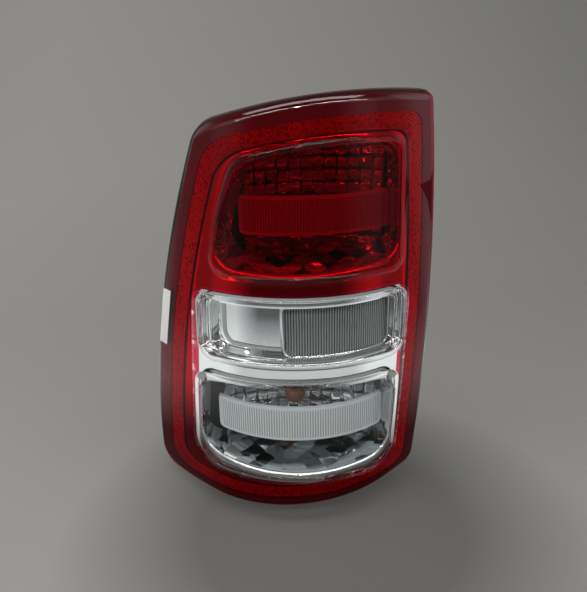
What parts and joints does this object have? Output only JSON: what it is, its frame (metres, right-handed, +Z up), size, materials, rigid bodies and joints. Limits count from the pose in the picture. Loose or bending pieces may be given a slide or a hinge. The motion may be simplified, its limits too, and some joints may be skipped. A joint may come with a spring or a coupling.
{
  "type": "tail light cluster",
  "caption": "Wraparound rear combination lamp for a pickup truck: red and clear outer lens over a plated bezel with faceted reflectors, fluted inner lenses, bulbs and twist-lock sockets.",
  "frame": {"origin": "midway between the two fixing-screw holes, on the inboard face of their ears", "axes": "+X inboard along the fixing screws, +Y forward along the vehicle, +Z up, in which the lamp is longest"},
  "size_m": [0.2138, 0.2841, 0.4581],
  "materials": {
    "black_plastic": "moulded, fine grain",
    "red_lens": "polished, see-through red",
    "clear_lens": "polished, clear",
    "red_prism": "reflex prisms",
    "clear_inner": "clear, fluted",
    "plated": "vacuum-plated, mirror bright",
    "bulb_glass": "clear",
    "amber_glass": "amber",
    "base_plastic": "moulded",
    "socket_plastic": "moulded",
    "rubber": "matte",
    "steel": "zinc plated",
    "brass": "tinned"
  },
  "bodies": {
    "root": {"housing": "black_plastic", "reflex_band": "red_prism", "bezel": "plated", "outer_lens_red": "red_lens", "outer_lens_clear": "clear_lens", "stop_inner_lens": "clear_inner", "turn_inner_lens": "clear_inner", "reverse_inner_lens": "clear_inner", "bezel_screws": "steel", "screw_bushes": "steel", "locating_studs": "steel", "vent_caps": "rubber", "socket_terminals": "brass", "stop_reflector": "plated", "stop_bulb_glass": "bulb_glass", "stop_bulb_base": "base_plastic", "stop_socket": "socket_plastic", "stop_socket_gasket": "rubber", "reverse_reflector": "plated", "reverse_bulb_glass": "bulb_glass", "reverse_bulb_base": "base_plastic", "reverse_socket": "socket_plastic", "reverse_socket_gasket": "rubber", "turn_reflector": "plated", "turn_bulb_glass": "amber_glass", "turn_bulb_base": "base_plastic", "turn_socket": "socket_plastic", "turn_socket_gasket": "rubber"}
  },
  "joints": []
}
